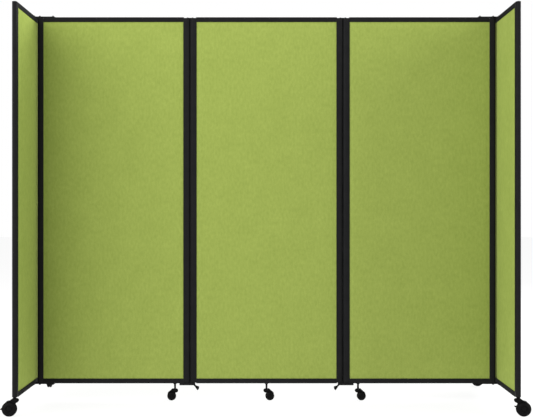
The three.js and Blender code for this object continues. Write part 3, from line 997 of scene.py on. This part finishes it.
smallCasterLook = {
    "wheelRadius": 0.024,
    "wheelWidth": 0.011,
    "trail": 0.018,
    "web": 0.007,
    "webRadius": 0.019,
    "gap": 0.008,
    "webSide": 0.0035,
    "axleRadius": 0.003,
    "hubRadius": 0.0065,
    "dish": 0.0016,
    "rimWidth": 0.0115,
    "treadWidth": 0.004,
    "treadBevel": 0.0009,
    "shoulderRise": 0.010,
    "stemRadius": 0.00555,
    "head": 0.063,
    "headReach": 0.006,
    "noseRadius": 0.0095,
    "noseReach": 0.0165,
    "noseDrop": 0.0008,
    "crestReach": 0.014,
    "throatReach": 0.002,
    "throatRise": 0.017,
    "neckWidth": 0.018,
    "hoodWidth": 0.028,
    "hoodGap": 0.0008,
    "hoodThickness": 0.0017,
    "hoodRoot": math.radians(122),
    "backAngle": math.radians(55),
    "hoodEnd": math.radians(36),
    "neckRim": 0.0020,
}


housingLook = {
    "neckSteps": 4,
    "arcSteps": 16,
    "webSteps": 24,
    "webRim": 0.0006,
    "hoodSteps": 20,
    "hoodEdgeSteps": 6,
    "hoodRim": 0.0007,
    "bossWall": 0.0022,
    "bossHeight": 0.004,
    "bossRim": 0.0004,
}


# The moulded body of a caster: a neck over the wheels, a web between them and a hood round them
def housingShape(look):
    mould = housingLook
    wheelX = look["trail"]
    wheelZ = look["wheelRadius"]
    well = look["wheelRadius"] + look["hoodGap"]
    hood = well + look["hoodThickness"]
    noseX = look["noseRadius"] - look["noseReach"]
    noseZ = look["head"] - look["noseDrop"] - look["noseRadius"]
    throatX = -look["throatReach"]
    throatZ = wheelZ + look["throatRise"]
    throatAngle = math.atan2(look["throatRise"], throatX - wheelX)
    backX = wheelX + hood * math.cos(look["backAngle"])
    backZ = wheelZ + hood * math.sin(look["backAngle"])
    neckPlan = [
        (noseX, noseZ, look["noseRadius"], -quarterTurn, -3 * quarterTurn, mould["arcSteps"]),
        (-look["headReach"], look["head"]),
        (look["crestReach"], look["head"]),
        (backX, backZ),
        (wheelX, wheelZ, well, look["backAngle"], throatAngle, mould["arcSteps"]),
    ]
    neckReach = look["neckWidth"] / 2
    neck = raised(neckPlan, -neckReach, neckReach, look["neckRim"], mould["neckSteps"])
    webTop = well + look["hoodThickness"] / 2
    webPlan = [
        (wheelX, wheelZ, look["webRadius"], 0, -halfTurn, mould["webSteps"]),
        (throatX, throatZ),
        (0, look["head"] - look["neckRim"]),
        (wheelX, wheelZ, webTop, look["backAngle"], look["hoodEnd"], mould["hoodEdgeSteps"]),
    ]
    web = raised(webPlan, look["webSide"] - look["web"], look["webSide"], mould["webRim"])
    hoodPlan = [
        (wheelX, wheelZ, hood, look["hoodRoot"], look["hoodEnd"], mould["hoodSteps"]),
        (wheelX, wheelZ, well, look["hoodEnd"], look["hoodRoot"], mould["hoodSteps"]),
    ]
    hoodReach = look["hoodWidth"] / 2
    cover = raised(hoodPlan, -hoodReach, hoodReach, mould["hoodRim"], roundSteps)
    boss = rod(look["stemRadius"] + mould["bossWall"], look["head"] - mould["bossHeight"],
               look["head"], mould["bossRim"])
    return gathered(moved(gathered(neck, web, cover), standing), boss)


wheelLook = {
    # points on the shoulder: how far down its rise, and how far out to the face
    "shoulderShares": [(0, 0), (0.10, 0.14), (0.38, 0.48), (0.70, 0.80), (1, 1)],
    "treadShare": 0.38,  # of the shoulder's rise, which has the tread's finish
    "ringShare": 0.6,  # how deep the ring stands in the dish
    "capShare": 0.3,
    "capMiddleShare": 0.6,  # of the hub's radius
    "capCrownShare": 0.05,
    "rim": 0.0004,
    "steps": 56,
    "sharp": 20,
}


# Two wheels on one axle about Z, with a domed shoulder, a dished face, a ring and a cap on each
def wheelShape(look):
    wheel = wheelLook
    inner = look["gap"] / 2
    outer = inner + look["wheelWidth"]
    radius = look["wheelRadius"]
    rimRadius = radius - look["rimWidth"]
    hub = look["hubRadius"]
    dish = look["dish"]
    ring = (rimRadius + hub) / 2
    rise = look["shoulderRise"]
    treadEdge = inner + look["treadWidth"]
    half = [
        (look["axleRadius"], inner),
        (radius - look["treadBevel"], inner),
        (radius, inner + look["treadBevel"]),
    ]
    for drop, out in wheel["shoulderShares"]:
        half.append((radius - rise * drop, treadEdge + (outer - treadEdge) * out))
    half += [
        (rimRadius, outer),
        (rimRadius - dish / 2, outer - dish),
        (ring + dish / 3, outer - dish),
        (ring, outer - dish * wheel["ringShare"]),
        (ring - dish / 3, outer - dish),
        (hub + dish / 3, outer - dish),
        (hub, outer - dish * wheel["capShare"]),
        (hub * wheel["capMiddleShare"], outer - dish * wheel["capCrownShare"]),
        (0, outer),
    ]
    profile = [(across, -along) for across, along in reversed(half)] + half
    shape = spun(profile, wheel["rim"], wheel["steps"], wheel["sharp"])
    treadRadius = radius - rise * wheel["treadShare"]
    for face in shape.faces:
        middle = face.calc_center_median()
        face.material_index = 1 if math.hypot(middle.x, middle.y) < treadRadius else 0
    return moved(shape, standing)


stemLook = {
    "collarTop": 0.0105,
    "collarFoot": 0.007,
    "collarBand": 0.0012,  # the upright band over the collar's slope
    "nutRadius": 0.0092,
    "nutHeight": 0.005,
    "nutSides": 6,
    "nutRim": 0.0006,
    "threadPitch": 0.0015,
    "threadDepth": 0.0005,
    "threadStart": 0.001,  # over the housing
    "threadEnd": 0.002,  # inside the nut
    "threadSteps": 24,
    "rim": 0.0005,
    "steps": 40,
}


def endStemShape(node, look):
    low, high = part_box(node)
    radius = look["stemRadius"]
    collarFoot = look["head"] + fitGap
    collarHigh = uprightBottom - fitGap
    profile = [
        (0, low.z),
        (radius, low.z),
        (radius, collarFoot),
        (stemLook["collarFoot"], collarFoot),
        (stemLook["collarTop"], collarHigh - stemLook["collarBand"]),
        (stemLook["collarTop"], collarHigh),
        (radius, collarHigh),
        (radius, high.z),
        (0, high.z),
    ]
    return spun(profile, stemLook["rim"], stemLook["steps"])


# A stem cut with ring threads where it shows, and its jam nut under the rail
def smallStemShape(node, look):
    low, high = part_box(node)
    radius = look["stemRadius"]
    nutFoot = frameBottom - fitGap - stemLook["nutHeight"]
    profile = [(0, low.z), (radius, low.z)]
    height = look["head"] + stemLook["threadStart"]
    while height < nutFoot + stemLook["threadEnd"]:
        profile.append((radius, height))
        profile.append((radius - stemLook["threadDepth"], height + stemLook["threadPitch"] / 2))
        height += stemLook["threadPitch"]
    profile += [(radius, height), (radius, high.z), (0, high.z)]
    angles = [step * fullTurn / stemLook["nutSides"] for step in range(stemLook["nutSides"])]
    nutRuns = [(stemLook["nutRadius"] * math.cos(angle), stemLook["nutRadius"] * math.sin(angle))
               for angle in angles]
    nut = raised(nutRuns, nutFoot, frameBottom - fitGap, stemLook["nutRim"])
    return gathered(spun(profile, steps=stemLook["threadSteps"]), nut)


pedalLook = {
    "eyeRadius": 0.008,
    "thickness": 0.0028,
    "armHeight": 0.007,
    "tabWidth": 0.022,
    "tabGap": 0.0015,
    "tipShare": 0.25,
    "heel": {"angle": 0.0, "reach": 0.006},
    "toe": {"angle": math.radians(164), "reach": 0.009},
    "rim": 0.0008,
    "armRim": 0.0006,
    "eyeSteps": 32,
    "ribs": 3,
    "ribRadius": 0.0005,
    "ribRim": 0.0002,
    "ribSteps": 10,
    "ribInset": 0.002,  # from the tab's sides
}


# A brake pedal about the axle, its ribbed tab turned up from +X
def pedalShape(look, kind):
    pedal = pedalLook
    half = pedal["armHeight"] / 2
    tip = half * pedal["tipShare"]
    foot = look["wheelRadius"] + pedal["tabGap"]
    reach = pedal[kind]["reach"]
    side = look["webSide"]
    arm = raised([(0, -half), (foot + half / 2, -half), (foot + half / 2, half), (0, half)],
                 -side, pedal["thickness"] - side, pedal["armRim"])
    tab = raised([(foot, -half), (foot + reach, -tip), (foot + reach, tip), (foot, half)],
                 -pedal["tabWidth"] / 2, pedal["tabWidth"] / 2, pedal["rim"], roundSteps, fineLimit)
    eye = rod(pedal["eyeRadius"], -side, pedal["thickness"] - side, pedal["armRim"], pedal["eyeSteps"])
    parts = [arm, tab, eye]
    ribReach = pedal["tabWidth"] / 2 - pedal["ribInset"]
    for step in range(pedal["ribs"]):
        share = (step + 1) / (pedal["ribs"] + 1)
        rib = rod(pedal["ribRadius"], -ribReach, ribReach, pedal["ribRim"], pedal["ribSteps"])
        parts.append(moved(rib, shifted(foot + reach * share, half + (tip - half) * share)))
    return moved(gathered(*parts), standing, turned(-pedal[kind]["angle"], "Y"))


# Where a caster stands, and how far it is turned about its stem
def casterPlace(caster):
    stem = Vector(joints[f"{caster}_swivel_turn"]["pos_m"])
    axle = Vector(joints[f"{caster}_roll"]["pos_m"])
    turn = math.atan2(axle.y - stem.y, axle.x - stem.x)
    return shifted(stem.x, stem.y) @ turned(turn)


def makeCaster(caster, look, stem, stemBody):
    place = casterPlace(caster)
    axle = shifted(look["trail"], 0, look["wheelRadius"])
    addPiece(f"{caster}_stem_pin", moved(stem, shifted(*place.translation)), "zinc", stemBody,
             f"{caster}_stem")
    addPiece(f"{caster}_housing_body", moved(housingShape(look), place), "plastic",
             f"{caster}_swivel", f"{caster}_housing")
    addPiece(f"{caster}_wheel_pair", moved(wheelShape(look), axle, place), ["tread", "plastic"],
             f"{caster}_wheel_set", f"{caster}_wheels")


def makeCasters():
    for caster in endCasters:
        body = caster.split("_")[0] + "_end"
        makeCaster(caster, endCasterLook, endStemShape(f"{caster}_stem", endCasterLook), body)
        kind = "toe" if caster == "right_front_caster" else "heel"
        axle = shifted(endCasterLook["trail"], 0, endCasterLook["wheelRadius"])
        pedal = moved(pedalShape(endCasterLook, kind), axle, casterPlace(caster))
        addPiece(f"{caster}_pedal_lever", pedal, "plastic", f"{caster}_brake",
                 f"{caster}_brake_pedal")
    for caster in smallCasters:
        body = caster.split("_")[0] + "_panel"
        makeCaster(caster, smallCasterLook, smallStemShape(f"{caster}_stem", smallCasterLook), body)
    print("casters made")


makeCasters()


# Camera, light and floor

viewLook = {
    "place": (0, -5.1525, 1.0409),
    "focalPixels": 946,
    "framePixels": 533,
    "sensor": 36,
}


def makeCamera():
    data = bpy.data.cameras.new("camera")
    data.sensor_width = viewLook["sensor"]
    data.lens = viewLook["focalPixels"] / viewLook["framePixels"] * viewLook["sensor"]
    camera = bpy.data.objects.new("camera", data)
    camera.location = viewLook["place"]
    camera.rotation_euler = (quarterTurn, 0, 0)
    scene.collection.objects.link(camera)
    scene.camera = camera


lightLook = {
    "sky": 0.45,
    "floorGlow": 0.88,
    "floorColour": 0.12,
    "floorReach": 30,
    "floorRoughness": 0.9,
    "floorGloss": 0.1,
    "lamps": {
        "key": {"place": (-4.85, -5.39, 4.38), "aim": (0, 0, 1.0), "size": 7.0, "power": 608},
        "high left": {"place": (-5.17, -1.39, 6.95), "aim": (0, 0, 1.0), "size": 4.0, "power": 140},
        "left": {"place": (-7.26, -1.95, 3.74), "aim": (0, 0, 1.0), "size": 4.0, "power": 211},
        "right": {"place": (11.6, -3.12, 5.38), "aim": (0, 0, 1.0), "size": 6.4, "power": 1240},
        "rear": {"place": (4.2, 3.4, 4.4), "aim": (-0.6, 0.2, 1.2), "size": 4.0, "power": 480},
    },
}


def makeLights():
    for name, look in lightLook["lamps"].items():
        data = bpy.data.lights.new(name, "AREA")
        data.shape = "SQUARE"
        data.size = look["size"]
        data.energy = look["power"]
        lamp = bpy.data.objects.new(name, data)
        lamp.location = look["place"]
        aim = Vector(look["aim"]) - lamp.location
        lamp.rotation_euler = aim.to_track_quat("-Z", "Y").to_euler()
        scene.collection.objects.link(lamp)


# The backdrop is white in view, and lights the divider more softly
def makeSky():
    world = bpy.data.worlds.new("studio")
    world.use_nodes = True
    tree = world.node_tree
    background = tree.nodes["Background"]
    background.inputs["Color"].default_value = (1, 1, 1, 1)
    path = tree.nodes.new("ShaderNodeLightPath")
    strength = tree.nodes.new("ShaderNodeMapRange")
    strength.inputs["To Min"].default_value = lightLook["sky"]
    strength.inputs["To Max"].default_value = 1.0
    tree.links.new(path.outputs["Is Camera Ray"], strength.inputs["Value"])
    tree.links.new(strength.outputs["Result"], background.inputs["Strength"])
    scene.world = world
    scene.view_settings.view_transform = "Standard"


def makeFloor():
    shape = bmesh.new()
    bmesh.ops.create_grid(shape, x_segments=1, y_segments=1, size=lightLook["floorReach"])
    mesh = bpy.data.meshes.new("floor")
    shape.to_mesh(mesh)
    shape.free()
    material, _, shader = startFinish("floor")
    tone = lightLook["floorColour"]
    shader.inputs["Base Color"].default_value = (tone, tone, tone, 1)
    shader.inputs["Roughness"].default_value = lightLook["floorRoughness"]
    shader.inputs["Specular IOR Level"].default_value = lightLook["floorGloss"]
    shader.inputs["Emission Color"].default_value = (1, 1, 1, 1)
    shader.inputs["Emission Strength"].default_value = lightLook["floorGlow"]
    mesh.materials.append(material)
    floor = bpy.data.objects.new("floor", mesh)
    scene.collection.objects.link(floor)


makeCamera()
makeLights()
makeSky()
makeFloor()
print("camera, lights and floor made")
